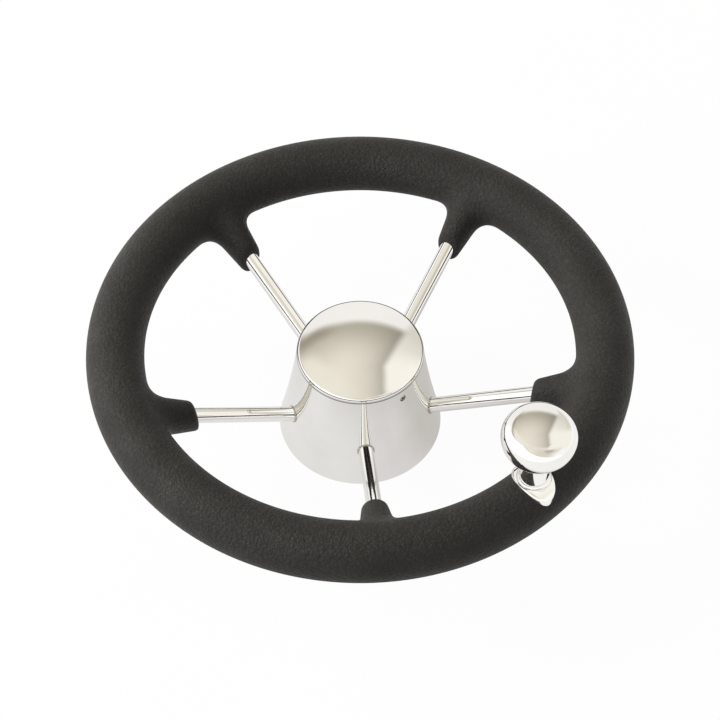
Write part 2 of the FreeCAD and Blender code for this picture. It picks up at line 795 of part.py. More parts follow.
grub_first = spigot_outer + dim.grub_tip_gap
grub_last = grub_first + dim.grub_len
grub_body = grub_cylinder("grub_body", dim.grub_d / 2.0, grub_first, grub_last)
grub_hex = hexagon("grub_hex", dim.grub_hex_af, GRUB_HEX_CUTTER)
lay_on_grub_axis(grub_hex, grub_last - dim.grub_hex_deep)
grub_socketed = cut("grub_socketed", grub_body, grub_hex)
grub_edges = find_edges(
    grub_socketed,
    lambda edge: edge.Curve.TypeId == "Part::GeomCircle"
    and abs(edge.Curve.Radius - dim.grub_d.number / 2.0) < 1e-6,
)
cap_grub_screw = dress(
    "Chamfer", "cap_grub_screw", grub_socketed, grub_edges, dim.grub_chamfer
)

# ---------------------------------------------------------------- shaft washer and nut
nut_low = dim.boss_high + dim.washer_thick
shaft_washer = turned(
    "shaft_washer",
    [
        (dim.washer_hole_d / 2.0, dim.boss_high),
        (dim.washer_radius - dim.washer_chamfer, dim.boss_high),
        (dim.washer_radius, dim.boss_high + dim.washer_chamfer),
        (dim.washer_radius, nut_low),
        (dim.washer_hole_d / 2.0, nut_low),
    ],
)
nut_prism = hexagon("nut_prism", dim.nut_af, dim.nut_high)
place(nut_prism, z=nut_low)
# the turned blank trims the hexagon's corners and holds the thread's bore
nut_top = nut_low + dim.nut_high
nut_flat = dim.nut_af / 2.0
nut_bore = dim.nut_hole_d / 2.0
nut_mouth = nut_bore + dim.nut_hole_chamfer
nut_outer = dim.nut_af / math.sqrt(3.0) + dim.nut_corner_over
nut_blank = turned(
    "nut_blank",
    [
        (nut_mouth, nut_low),
        (nut_flat, nut_low),
        (nut_outer, nut_low + dim.nut_corner_high),
        (nut_outer, nut_top - dim.nut_corner_high),
        (nut_flat, nut_top),
        (nut_mouth, nut_top),
        (nut_bore, nut_top - dim.nut_hole_chamfer),
        (nut_bore, nut_low + dim.nut_hole_chamfer),
    ],
)
shaft_nut = common("shaft_nut", nut_prism, nut_blank)
doc.recompute()

# ---------------------------------------------------------------- pedestal saddle
SADDLE_COLUMN_LIFT = 1.0  # column's start above the rim plane
SADDLE_COLUMN_HIGH = 30.0  # column's length, past the saddle's skin

half_grip = dim.grip_d / 2.0
saddle_radius = half_grip + dim.saddle_thick
saddle_skin = rim_torus("saddle_skin", saddle_radius)
oval = doc.addObject("Part::Ellipse", "saddle_oval")
bind(oval, MajorRadius=dim.saddle_half_l, MinorRadius=dim.saddle_half_w)
oval.Placement = Placement(
    Vector(), Rotation(UP, dim.knob_azimuth.number + dim.saddle_turn.number)
)
place(oval, knob_x, knob_y, dim.rim_z + SADDLE_COLUMN_LIFT)
column = doc.addObject("Part::Extrusion", "saddle_column")
column.Base = oval
column.DirMode = "Custom"
column.Dir = UP
bind(column, LengthFwd=SADDLE_COLUMN_HIGH)
column.Solid = True
saddle_plate = common("saddle_plate", column, saddle_skin)
saddle_blank = cut("saddle_blank", saddle_plate, grip_envelope)


def is_saddle_rim(edge):
    """An edge on the saddle's upper skin."""
    points = points_on(edge, (0.03, 0.37, 0.66, 0.97))
    return all(abs(rim_distance(p) - saddle_radius.number) <= 1e-2 for p in points)


saddle_rim = find_edges(saddle_blank, is_saddle_rim)
saddle = dress("Fillet", "saddle", saddle_blank, saddle_rim, dim.saddle_round)

# ---------------------------------------------------------------- knob pedestal
crown_z = dim.rim_z + half_grip
stem_low = crown_z + dim.stem_lift
fillet_foot = dim.stem_radius + dim.collar_fillet
fillet_top = dim.collar_top + dim.collar_fillet
fillet_reach = dim.collar_fillet * math.sqrt(0.5)
stem_turned = turned(
    "stem_turned",
    [
        (0.0, stem_low),
        (dim.collar_radius, stem_low),
        (dim.collar_radius, dim.collar_top - dim.collar_edge),
        (fillet_foot, dim.collar_top),
        (
            dim.stem_radius,
            fillet_top,
            (fillet_foot - fillet_reach, fillet_top - fillet_reach),
        ),
        (dim.stem_radius, dim.stem_top - dim.stem_chamfer),
        (dim.stem_radius - dim.stem_chamfer, dim.stem_top),
        (0.0, dim.stem_top),
    ],
)
at_knob(stem_turned)
foot = knob_cylinder("pedestal_foot", dim.spigot_radius, dim.rim_z, crown_z + OVERRUN)
foot_coped = cut("foot_coped", foot, core_envelope)
stem_and_saddle = joined("stem_and_saddle", stem_turned, saddle)
with_foot = joined("with_foot", stem_and_saddle, foot_coped)
bolt_tap = knob_cylinder(
    "bolt_tap", dim.bolt_d / 2.0, dim.rim_z, dim.rim_z + dim.bolt_tap_deep
)
spindle_low = dim.stem_top - dim.spindle_thread_len
spindle_tap = knob_cylinder(
    "spindle_tap",
    dim.spindle_thread_d / 2.0,
    spindle_low - dim.spindle_tap_extra,
    dim.stem_top,
)
bolt_tapped = cut("bolt_tapped", with_foot, bolt_tap, keep_faces=True)
knob_pedestal = cut("knob_pedestal", bolt_tapped, spindle_tap, keep_faces=True)
doc.recompute()

# ---------------------------------------------------------------- knob bolt washer
WASHER_TRIM_SIZE = 20.0  # trimming cylinder's radius, and its top above the rim plane
WASHER_DRILL_OVER = 5.0  # drill's reach below the washer and above the rim plane

seat_z = dim.rim_z - dim.core_d / 2.0 - dim.bolt_washer_thick
washer_blank = knob_cylinder(
    "bolt_washer_blank", dim.bolt_washer_radius, seat_z, dim.rim_z
)
washer_half = cut("washer_half", washer_blank, core_envelope)
washer_trim = knob_cylinder(
    "washer_trim",
    WASHER_TRIM_SIZE,
    dim.rim_z - dim.bolt_washer_drop,
    dim.rim_z + WASHER_TRIM_SIZE,
)
washer_solid = cut("washer_solid", washer_half, washer_trim)
washer_drill = knob_cylinder(
    "washer_drill",
    dim.bolt_d / 2.0 + dim.bolt_washer_gap,
    seat_z - WASHER_DRILL_OVER,
    dim.rim_z + WASHER_DRILL_OVER,
)
knob_bolt_washer = cut("knob_bolt_washer", washer_solid, washer_drill)

# ---------------------------------------------------------------- knob bolt
head_low = seat_z - dim.bolt_head_high
head_radius = dim.bolt_head_d / 2.0
bolt_radius = dim.bolt_d / 2.0
bolt_end = seat_z + dim.bolt_grip
bolt_turned = turned(
    "bolt_turned",
    [
        (0.0, head_low),
        (head_radius - dim.bolt_head_chamfer, head_low),
        (head_radius, head_low + dim.bolt_head_chamfer),
        (head_radius, seat_z),
        (bolt_radius - dim.thread_gap, seat_z),
        (bolt_radius - dim.thread_gap, bolt_end - dim.thread_chamfer),
        (bolt_radius - dim.thread_chamfer, bolt_end),
        (0.0, bolt_end),
    ],
)
at_knob(bolt_turned)
bolt_hex = knob_socket("bolt_hex", head_low - OVERRUN)
knob_bolt = cut("knob_bolt", bolt_turned, bolt_hex)

# ---------------------------------------------------------------- knob spindle
shoulder_radius = dim.spindle_d / 2.0
shoulder_top = dim.bush_high + dim.shoulder_rise
spindle_top = shoulder_top + dim.spindle_head_high
thread_radius = dim.spindle_thread_d / 2.0
spindle_turned = turned(
    "spindle_turned",
    [
        (0.0, spindle_low),
        (thread_radius - dim.thread_chamfer, spindle_low),
        (thread_radius - dim.thread_gap, spindle_low + dim.thread_chamfer),
        (thread_radius - dim.thread_gap, dim.stem_top),
        (shoulder_radius, dim.stem_top),
        (shoulder_radius, shoulder_top),
        (dim.spindle_head_radius, shoulder_top),
        (dim.spindle_head_radius, spindle_top - dim.spindle_head_chamfer),
        (dim.spindle_head_radius - dim.spindle_head_chamfer, spindle_top),
        (0.0, spindle_top),
    ],
)
at_knob(spindle_turned)
spindle_hex = knob_socket("spindle_hex", spindle_top - dim.socket_deep)
knob_spindle = cut("knob_spindle", spindle_turned, spindle_hex)

# ---------------------------------------------------------------- knob washers, bush and hub
washer_bore = shoulder_radius + dim.knob_washer_gap
knob_thrust_washer = tube(
    "knob_thrust_washer",
    washer_bore,
    dim.bush_radius - dim.thrust_inset,
    dim.stem_top,
    dim.bush_low - dim.knob_washer_gap,
)
knob_head_washer = tube(
    "knob_head_washer",
    washer_bore,
    dim.spindle_head_radius,
    dim.bush_high + dim.knob_washer_gap,
    shoulder_top,
)
knob_bush = tube(
    "knob_bush",
    shoulder_radius + dim.bush_gap,
    dim.bush_radius,
    dim.bush_low,
    dim.bush_high,
)
hub_low = dim.bush_low - dim.hub_drop
knob_hub = turned(
    "knob_hub",
    [
        (dim.bush_radius, dim.bush_low),
        (dim.bush_radius + dim.hub_bore_chamfer, hub_low),
        (dim.ball_neck, hub_low),
        (dim.ball_neck, dim.bush_high - dim.hub_chamfer),
        (dim.ball_neck - dim.hub_chamfer, dim.bush_high),
        (dim.bush_radius, dim.bush_high),
    ],
)

# ---------------------------------------------------------------- knob ball
# hollow: a flattened top, a tight shoulder and a rounder underside that ends at the neck
side_x = dim.ball_radius - dim.ball_side_curve
low_x = dim.ball_radius - dim.ball_low_curve
top_swing = math.asin(side_x.number / (dim.ball_top_curve - dim.ball_side_curve).number)
low_swing = math.radians(dim.ball_low_swing.number)
top_centre = dim.ball_z - side_x * (1.0 / math.tan(top_swing))


def on_arc(x, z, radius, swing):
    """A point on an arc centred at x, z; swing is the normal's rise above level, radians."""
    return (x + radius * math.cos(swing), z + radius * math.sin(swing))


def ball_skin(wall):
    """Half profile from the underside to the top, this far inside the outer face."""
    top = dim.ball_top_curve - wall
    side = dim.ball_side_curve - wall
    low = dim.ball_low_curve - wall
    shoulder = math.pi / 2.0 - top_swing
    start = on_arc(low_x, dim.ball_z, low, -low_swing)
    low_middle = on_arc(low_x, dim.ball_z, low, -low_swing / 2.0)
    belly = (dim.ball_radius - wall, dim.ball_z)
    side_middle = on_arc(side_x, dim.ball_z, side, shoulder / 2.0)
    joint = on_arc(side_x, dim.ball_z, side, shoulder)
    top_middle = (
        top * math.sin(top_swing / 2.0),
        top_centre + top * math.cos(top_swing / 2.0),
    )
    return start, low_middle, belly, side_middle, joint, top_middle, top_centre + top


start, low_middle, belly, side_middle, joint, top_middle, top_z = ball_skin(0.0)
(
    in_start, in_low_middle, in_belly, in_side_middle, in_joint, in_top_middle, in_top_z,
) = ball_skin(dim.ball_wall)
knob_ball = turned(
    "knob_ball",
    [
        (dim.ball_neck, start[1] - dim.ball_neck_drop),
        start,
        (*belly, low_middle),
        (*joint, side_middle),
        (0.0, top_z, top_middle),
        (0.0, in_top_z),
        (*in_joint, in_top_middle),
        (*in_belly, in_side_middle),
        (*in_start, in_low_middle),
        (dim.ball_neck, in_start[1] - dim.ball_neck_drop_in),
    ],
)
for piece in (knob_thrust_washer, knob_head_washer, knob_bush, knob_hub, knob_ball):
    at_knob(piece)
doc.recompute()

# ---------------------------------------------------------------- check and write
PIECES = [
    rim_core_ring,
    foam_grip,
    *spokes,
    hub_shell,
    hub_boss,
    hub_plate,
    hub_weld_beads,
    boss_weld_beads,
    core_weld_beads,
    cap_seat_ring,
    centre_cap,
    cap_spigot,
    cap_grub_screw,
    shaft_washer,
    shaft_nut,
    knob_pedestal,
    knob_bolt,
    knob_bolt_washer,
    knob_spindle,
    knob_thrust_washer,
    knob_head_washer,
    knob_bush,
    knob_hub,
    knob_ball,
]
bad = [o.Name for o in doc.Objects if "Invalid" in o.State or "Error" in o.State]
if bad:
    sys.exit("failed objects: %s" % bad)
for piece in PIECES:
    shape = piece.Shape
    if shape.isNull() or not shape.isValid() or not shape.Solids:
        sys.exit("bad shape: %s" % piece.Label)
for piece in PIECES:
    piece.Shape.exportStep("parts/%s.step" % piece.Label)
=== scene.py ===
"""A five-spoked steering wheel with a moulded foam grip, lying flat over a paper floor.

The wheel's axis is +Z. The camera stands at the helmsman's place: -Y is the near side,
+Y the far side, -X the helmsman's left and +X the right. Lengths are in metres, azimuths
in degrees round +Z from +X. The CAD pieces keep their shapes and get new finishes; the
foam grip is replaced by a detailed mesh.
"""
import json
import math
from functools import reduce

import bmesh
import bpy
import numpy as np
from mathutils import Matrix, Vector


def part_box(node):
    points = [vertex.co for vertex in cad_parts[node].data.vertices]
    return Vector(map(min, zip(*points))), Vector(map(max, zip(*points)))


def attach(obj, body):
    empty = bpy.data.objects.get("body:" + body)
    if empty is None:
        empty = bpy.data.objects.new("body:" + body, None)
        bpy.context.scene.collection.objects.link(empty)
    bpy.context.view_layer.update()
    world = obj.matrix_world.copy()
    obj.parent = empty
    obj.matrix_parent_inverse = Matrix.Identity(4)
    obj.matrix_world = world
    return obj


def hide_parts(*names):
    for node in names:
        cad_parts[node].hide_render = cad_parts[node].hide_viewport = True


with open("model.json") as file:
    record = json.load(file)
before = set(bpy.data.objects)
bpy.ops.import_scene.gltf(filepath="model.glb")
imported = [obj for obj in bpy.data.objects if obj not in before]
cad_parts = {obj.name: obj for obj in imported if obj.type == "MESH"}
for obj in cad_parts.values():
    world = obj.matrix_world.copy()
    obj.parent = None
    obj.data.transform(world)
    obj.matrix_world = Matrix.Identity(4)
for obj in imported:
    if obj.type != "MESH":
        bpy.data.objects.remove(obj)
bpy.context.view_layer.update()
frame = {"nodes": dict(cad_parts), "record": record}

PIECES = frame["nodes"]
SCENE = bpy.context.scene
TO_DEGREES = 180 / math.pi


def piece_box(name):
    return tuple(np.array(corner, float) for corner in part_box(name))


# ---------------------------------------------------------------- driving sizes
core_low, core_high = piece_box("rim_core_ring")
CORE_RADIUS = (core_high[2] - core_low[2]) / 2.0
RIM_Z = (core_high[2] + core_low[2]) / 2.0
GRIP_RADIUS = piece_box("foam_grip")[1][2] - RIM_Z
RIM_RADIUS = 0.1252

cap_low, cap_high = piece_box("centre_cap")
CAP_RADIUS, CAP_FOOT = cap_high[0], cap_low[2]
screw_low, screw_high = piece_box("cap_grub_screw")
SCREW = (screw_low + screw_high) / 2.0

SPOKE_AZIMUTHS = [-90.0 + 72.0 * i for i in range(5)]
ROD_TILT = math.radians(27.0)
ROD_REF_RADIUS, ROD_REF_Z = 0.038, 0.0228  # a point on every rod's axis
ROD_RADIUS = 0.004

# the oval foam boots that run down the rods from the rim
BOOT_END = 0.0905  # distance of the inner end face from the wheel's axis
BOOT_HALF_WIDTH, BOOT_HALF_HEIGHT = 0.0065, 0.0087  # at the end face
WIDTH_GROWTH, HEIGHT_GROWTH = 0.13, 0.11  # per metre along the rod
HEIGHT_GROWS_TO = 0.020
BOOT_DROP = 0.0009  # the boot's axis lies this far below the rod's

# the knob's pedestal and bolt meet the rim here
KNOB_AZIMUTH = math.radians(-53.2)
KNOB_X = RIM_RADIUS * math.cos(KNOB_AZIMUTH)
KNOB_Y = RIM_RADIUS * math.sin(KNOB_AZIMUTH)
PEDESTAL_HOLE_RADIUS = 0.00554
BOLT_HOLE_RADIUS = 0.0070
CLEARANCE = 0.00004  # between the foam and the steel inside it


# ---------------------------------------------------------------- node helpers
class Graph:
    """Short names for building the nodes of a material or world."""

    def __init__(self, owner):
        owner.use_nodes = True
        self.tree = owner.node_tree
        self.tree.nodes.clear()

    def feed(self, node, inputs):
        """Links sockets and sets plain values; keys are input names or numbers."""
        for key, value in inputs.items():
            socket = node.inputs[key]
            if isinstance(value, bpy.types.NodeSocket):
                self.tree.links.new(value, socket)
            elif socket.type == "RGBA":
                socket.default_value = (*value, 1.0)
            else:
                socket.default_value = value

    def node(self, kind, inputs=None, **settings):
        node = self.tree.nodes.new(kind)
        for key, value in settings.items():
            setattr(node, key, value)
        self.feed(node, inputs or {})
        return node

    def math(self, operation, *values):
        inputs = dict(enumerate(values))
        return self.node("ShaderNodeMath", inputs, operation=operation).outputs[0]

    def add(self, *terms):
        return reduce(lambda a, b: self.math("ADD", a, b), terms)

    def mul(self, *factors):
        return reduce(lambda a, b: self.math("MULTIPLY", a, b), factors)

    def hypot(self, x, y):
        return self.math("SQRT", self.add(self.mul(x, x), self.mul(y, y)))

    def vector(self, operation, inputs):
        return self.node("ShaderNodeVectorMath", inputs, operation=operation)

    def split(self, vector):
        return self.node("ShaderNodeSeparateXYZ", {0: vector}).outputs

    def step(self, value, start, end, low=0.0, high=1.0, smooth=True):
        """Goes from low to high as value goes from start to end."""
        node = self.node(
            "ShaderNodeMapRange",
            {"Value": value, "From Min": start, "From Max": end, "To Min": low, "To Max": high},
            interpolation_type="SMOOTHSTEP" if smooth else "LINEAR",
            clamp=True,
        )
        return node.outputs["Result"]

    def mix(self, share, a, b):
        inputs = {"Factor": share, "A": a, "B": b}
        return self.node("ShaderNodeMix", inputs, data_type="RGBA").outputs["Result"]

    def noise(self, at, scale, detail=2.0, rough=0.5):
        inputs = {"Vector": at, "Scale": scale, "Detail": detail, "Roughness": rough}
        return self.node("ShaderNodeTexNoise", inputs).outputs["Fac"]

    def stretch(self, at, scale, rotation=(0, 0, 0)):
        inputs = {"Vector": at, "Scale": scale, "Rotation": rotation}
        return self.node("ShaderNodeMapping", inputs).outputs["Vector"]

    def pebbles(self, at, scale, smoothness):
        inputs = {"Vector": at, "Scale": scale, "Smoothness": smoothness}
        node = self.node("ShaderNodeTexVoronoi", feature="SMOOTH_F1")
        self.feed(node, inputs)
        return node.outputs["Distance"]

    def bump(self, height, distance, strength, normal=None):
        inputs = {"Strength": strength, "Distance": distance, "Height": height}
        if normal is not None:
            inputs["Normal"] = normal
        return self.node("ShaderNodeBump", inputs).outputs["Normal"]

    def azimuth(self, x, y, centre):
        """Signed degrees round +Z from centre; the seam is opposite to it."""
        c, s = math.cos(math.radians(centre)), math.sin(math.radians(centre))
        along = self.add(self.mul(x, c), self.mul(y, s))
        across = self.math("SUBTRACT", self.mul(y, c), self.mul(x, s))
        return self.mul(self.math("ARCTAN2", across, along), TO_DEGREES)

    def sector(self, x, y, start, end, soft):
        """1 between two azimuths, 0 outside, with edges soft degrees wide."""
        half = (end - start) / 2.0
        off = self.math("ABSOLUTE", self.azimuth(x, y, (start + end) / 2.0))
        return self.step(off, half + soft / 2, half - soft / 2)


# ---------------------------------------------------------------- materials
def material(name):
    made = bpy.data.materials.new(name)
    g = Graph(made)
    bsdf = g.node("ShaderNodeBsdfPrincipled")
    g.node("ShaderNodeOutputMaterial", {0: bsdf.outputs[0]})
    at = g.node("ShaderNodeTexCoord").outputs["Object"]
    return made, g, bsdf, at


def foam_material():
    """Dark moulded foam: pebbles of about a millimetre, with finer ones between them."""
    made, g, bsdf, at = material("foam_skin")
    swell = g.noise(at, scale=320.0)
    push = g.node("ShaderNodeTexNoise", {"Vector": at, "Scale": 900.0}).outputs["Color"]
    shift = g.vector("SCALE", {0: push, "Scale": 0.0012}).outputs[0]
    moved = g.vector("ADD", {0: at, 1: shift}).outputs[0]
    cells = g.pebbles(moved, scale=700.0, smoothness=0.35)
    small = g.pebbles(moved, scale=1600.0, smoothness=0.4)
    fine = g.noise(at, scale=2600.0, detail=3.0, rough=0.6)
    blotch = g.noise(at, scale=46.0, detail=3.0, rough=0.55)
    patch = g.noise(at, scale=520.0, detail=3.0, rough=0.6)
    # shares of each size of grain in the relief
    grain = g.add(g.mul(cells, 0.80), g.mul(small, 0.35), g.mul(fine, 0.22), g.mul(swell, 0.30))
    normal = g.bump(grain, distance=0.00052, strength=0.9)
    normal = g.bump(patch, distance=0.00045, strength=0.45, normal=normal)
    # uneven tone, darker with painted shade in the creases between pebbles, and duller where it is
    # dark
    tone = g.add(g.mul(blotch, 0.45), g.mul(patch, 0.55))
    dark, light, painted_crease_shade = (0.0200, 0.0189, 0.0169), (0.0318, 0.0301, 0.0267), (0.0140, 0.0134, 0.0122)
    colour = g.mix(g.step(tone, 0.34, 0.66), dark, light)
    # painted shade: darkens the creases between the pebbles
    colour = g.mix(g.mul(g.step(cells, 0.16, 0.62), 0.58), colour, painted_crease_shade)
    g.feed(bsdf, {
        "Base Color": colour,
        "Roughness": g.step(tone, 0.3, 0.7, low=0.60, high=0.48),
        "Specular IOR Level": 0.20,
        "Normal": normal,
    })
    return made


def steel_material(name, colour, rough, wear, grain=None, ripple=0.0, edge=None):
    """Metal with a cloudy polish and hairline marks.

    grain stretches the lines of a lathe or draw finish, ripple is the strength of a fine
    unevenness, and edge(g, at, tint) may paint shade or a dark reflection into the colour.
    """
    made, g, bsdf, at = material(name)
    cloud = g.noise(at, scale=24.0, detail=4.0, rough=0.6)
    smear_at = g.stretch(at, (30.0, 180.0, 90.0), rotation=(0.3, 0.5, 0.9))
    smear = g.noise(smear_at, scale=1.0, detail=3.0, rough=0.55)
    # two sets of hairlines that cross each other
    hair_a = g.noise(g.stretch(at, (60.0, 5200.0, 260.0), rotation=(0.2, 0.4, 0.7)), scale=1.0)
    hair_b = g.noise(g.stretch(at, (5200.0, 90.0, 300.0), rotation=(0.9, 0.1, 0.3)), scale=1.0)
    marks = g.math("MAXIMUM", g.step(hair_a, 0.66, 0.80), g.step(hair_b, 0.67, 0.82))
    # roughness added by clouds, smears and marks
    roughness = g.add(
        rough,
        g.mul(g.step(cloud, 0.35, 0.75), 0.045 * wear),
        g.mul(g.step(smear, 0.45, 0.75), 0.05 * wear),
        g.mul(marks, 0.10 * wear),
    )
    tint = g.mix(g.step(cloud, 0.3, 0.8), colour, tuple(c * 0.93 for c in colour))
    # painted shade and painted reflection from the edge function, where one is given
    if edge is not None:
        tint = edge(g, at, tint)
    normal = g.bump(g.noise(at, scale=160.0), distance=0.00004, strength=0.10)
    normal = g.bump(marks, distance=0.00001, strength=0.25 * wear, normal=normal)
    if grain:
        lines = g.noise(g.stretch(at, grain), scale=1.0, detail=4.0, rough=0.65)
        normal = g.bump(lines, distance=0.00006, strength=0.55, normal=normal)
    if ripple:
        waves = g.noise(at, scale=900.0, detail=3.0, rough=0.6)
        normal = g.bump(waves, distance=0.0002, strength=ripple, normal=normal)
    g.feed(bsdf, {"Base Color": tint, "Roughness": roughness, "Metallic": 1.0, "Normal": normal})
    return made


def plastic_material():
    """Off-white acetal with faint turning lines round Z."""
    made, g, bsdf, at = material("acetal")
    mottle = g.noise(at, scale=300.0, detail=3.0)
    lines = g.noise(g.stretch(at, (200, 200, 4000)), scale=1.0)
    g.feed(bsdf, {
        "Base Color": g.mix(g.step(mottle, 0.3, 0.7), (0.74, 0.71, 0.62), (0.82, 0.80, 0.73)),
        "Roughness": g.step(mottle, 0.3, 0.7, low=0.36, high=0.48),
        "Subsurface Weight": 0.15,
        "Subsurface Radius": (0.001, 0.001, 0.001),
        "Normal": g.bump(lines, distance=0.00005, strength=0.3),
    })
    return made


def cap_edge_painted_shade(g, at, tint):
    """Paints a dark reflection on the cap's rolled edge on the far side where it turns away, and
    painted shade at its foot where it meets the shell.
    """
    x, y, z = g.split(at)
    away = g.node("ShaderNodeLayerWeight", {"Blend": 0.5}).outputs["Facing"]
    # painted reflection: a dark line on the far side of the rolled edge, where it turns away from
    # the eye
    rim = g.mul(
        g.step(g.hypot(x, y), CAP_RADIUS - 0.0020, CAP_RADIUS - 0.0014),
        g.step(away, 0.38, 0.50),
        g.step(y, -0.010, 0.004),
    )
    # painted shade in the gap at the cap's foot
    foot = g.step(z, CAP_FOOT + 0.0012, CAP_FOOT + 0.0008)
    dark = g.math("MAXIMUM", g.mul(rim, 0.88), g.mul(foot, 0.74))
    return g.mix(dark, tint, (0.16, 0.15, 0.15))


def screw_gap_painted_shade(g, at, tint):
    """Painted shade: a dark line round the grub screw's hole, which points outwards from the axis.
    """
    out = SCREW / math.hypot(SCREW[0], SCREW[1])
    offset = g.vector("SUBTRACT", {0: at, 1: tuple(SCREW)}).outputs[0]
    along = g.vector("DOT_PRODUCT", {0: offset, 1: (out[0], out[1], 0.0)}).outputs["Value"]
    away = g.vector("LENGTH", {0: offset}).outputs["Value"]
    square = g.math("SUBTRACT", g.mul(away, away), g.mul(along, along))
    from_axis = g.math("SQRT", g.math("MAXIMUM", square, 0.0))
    # painted shade in the gap between the screw and its hole
    ring = g.mul(g.step(from_axis, 0.00195, 0.0017), g.step(away, 0.006, 0.005))
    return g.mix(g.mul(ring, 0.8), tint, (0.13, 0.125, 0.12))


FOAM = foam_material()
POLISH = dict(colour=(0.90, 0.893, 0.88), rough=0.035, wear=0.45)
MIRROR = steel_material("mirror_steel", **POLISH)
TURNED = steel_material(
    "turned_steel", colour=(0.66, 0.655, 0.64), rough=0.20, wear=1.0, grain=(300.0, 300.0, 9000.0)
)
DRAWN = steel_material(
    "drawn_steel", colour=(0.60, 0.60, 0.585), rough=0.30, wear=1.0, grain=(2500.0, 2500.0, 2500.0)
)
# the cap's material carries a painted reflection on its far edge and painted shade at its foot
CAP_STEEL = steel_material("mirror_steel_cap", **POLISH, edge=cap_edge_painted_shade)
# the hub shell's material carries painted shade round the grub screw
HUB_STEEL = steel_material("mirror_steel_hub", **POLISH, edge=screw_gap_painted_shade)
BEAD = steel_material(
    "heat_tinted_bead", colour=(0.50, 0.46, 0.42), rough=0.16, wear=0.9, ripple=0.35
)
WELD = steel_material("weld_metal", colour=(0.55, 0.53, 0.49), rough=0.26, wear=1.0, ripple=0.6)
FASTENER = steel_material(
    "bright_fastener", colour=(0.76, 0.755, 0.74), rough=0.13, wear=0.8, grain=(400.0, 400.0, 5000.0)
)
ACETAL = plastic_material()

SLOT_FINISH = {
    "foam": FOAM,
    "polished": MIRROR,
    "machined": TURNED,
    "tube": DRAWN,
    "weld": WELD,
    "fastener": FASTENER,
    "bearing": ACETAL,
}
# pieces whose material differs from the rest of their slot: the cap and hub shell carry painted
# shade, the beads a heat tint
OWN_TINT_OR_PAINTED_SHADE = {"centre_cap": CAP_STEEL, "hub_shell": HUB_STEEL, "hub_weld_beads": BEAD}
piece_slot = {part["node"]: part["material_slot"] for part in frame["record"]["subparts"]}
for name, piece in PIECES.items():
    piece.data.materials.clear()
    piece.data.materials.append(SLOT_FINISH[piece_slot[name]])
for name, finish in OWN_TINT_OR_PAINTED_SHADE.items():
    PIECES[name].data.materials[0] = finish


# ---------------------------------------------------------------- mesh helpers
def add_object(name, data):
    made = bpy.data.objects.new(name, data)
    SCENE.collection.objects.link(made)
    return made


def new_mesh(name, verts, faces):
    mesh = bpy.data.meshes.new(name)
    verts = [tuple(map(float, v)) for v in verts]
    mesh.from_pydata(verts, [], [tuple(map(int, f)) for f in faces])
    mesh.update()
    return add_object(name, mesh)


def closed_mesh(name, verts, faces):
    """A new mesh object with its faces turned outwards."""
    made = new_mesh(name, verts, faces)
    bm = bmesh.new()
    bm.from_mesh(made.data)
    bmesh.ops.recalc_face_normals(bm, faces=bm.faces)
    bm.to_mesh(made.data)
    bm.free()
    return made


def evaluated_mesh(thing):
    """A copy of the object's mesh with its modifiers applied."""
    bpy.context.view_layer.update()
    depsgraph = bpy.context.evaluated_depsgraph_get()
    return bpy.data.meshes.new_from_object(thing.evaluated_get(depsgraph))


def angles(count):
    return np.linspace(0, 2 * math.pi, count, endpoint=False)


def oval(half_a, half_b, side_a, side_b, count):
    """Points round an oval about the origin, with its half axes along two directions."""
    t = angles(count)
    return np.outer(half_a * np.cos(t), side_a) + np.outer(half_b * np.sin(t), side_b)


def tube(rings):
    """Verts and faces of a capped tube through rings of equally many points."""
    rings = np.asarray(rings)
    k, n, _ = rings.shape
    faces = []
    for i in range(k - 1):
        for j in range(n):
            a, b = i * n + j, i * n + (j + 1) % n
            faces.append((a, b, b + n, a + n))
    faces.append(tuple(range(n))[::-1])
    faces.append(tuple(range((k - 1) * n, k * n)))
    return rings.reshape(-1, 3), faces


def torus(minor, nu, nv):
    """Verts and faces of a torus along the rim's centre line."""
    U, V = np.meshgrid(angles(nu), angles(nv), indexing="ij")
    reach = RIM_RADIUS + minor * np.cos(V)
    points = np.stack([reach * np.cos(U), reach * np.sin(U), RIM_Z + minor * np.sin(V)], -1)
    faces = []
    for i in range(nu):
        for j in range(nv):
            this, following = i * nv, (i + 1) % nu * nv
            after = (j + 1) % nv
            faces.append((this + j, following + j, following + after, this + after))
    return points.reshape(-1, 3), faces


def cylinder(start, axis, length, radius):
    """Verts and faces of a closed cylinder from start along axis."""
    axis = axis / np.linalg.norm(axis)
    side = np.cross(axis, [0, 0, 1.0])
    if np.linalg.norm(side) < 1e-6:
        side = np.array([1.0, 0, 0])
    side /= np.linalg.norm(side)
    ring = oval(radius, radius, side, np.cross(axis, side), 64)
    return tube([start + ring, start + axis * length + ring])


# ---------------------------------------------------------------- rods and boots
def outward(azimuth):
    a = math.radians(azimuth)
    return np.array([math.cos(a), math.sin(a), 0.0])


def rod_frame(azimuth):
    """Directions along a spoke's rod, level across it, and up from it."""
    x, y, _ = outward(azimuth)
    flat, rise = math.cos(ROD_TILT), math.sin(ROD_TILT)
    axis = np.array([x * flat, y * flat, rise])
    across = np.array([-y, x, 0.0])
    return axis, across, np.cross(axis, across)


def rod_point(radius, azimuth):
    """The point of a rod's axis at this distance from the wheel's axis."""
    x, y, _ = outward(azimuth)
    z = ROD_REF_Z + (radius - ROD_REF_RADIUS) * math.tan(ROD_TILT)
    return np.array([radius * x, radius * y, z])


def boot_frame(azimuth):
    axis, across, up = rod_frame(azimuth)
    return rod_point(BOOT_END, azimuth) - BOOT_DROP * up, axis, across, up


def boot_halves(s):
    """Half width and half height of a boot, s along it."""
    half_height = BOOT_HALF_HEIGHT + HEIGHT_GROWTH * np.minimum(s, HEIGHT_GROWS_TO)
    return BOOT_HALF_WIDTH + WIDTH_GROWTH * s, half_height


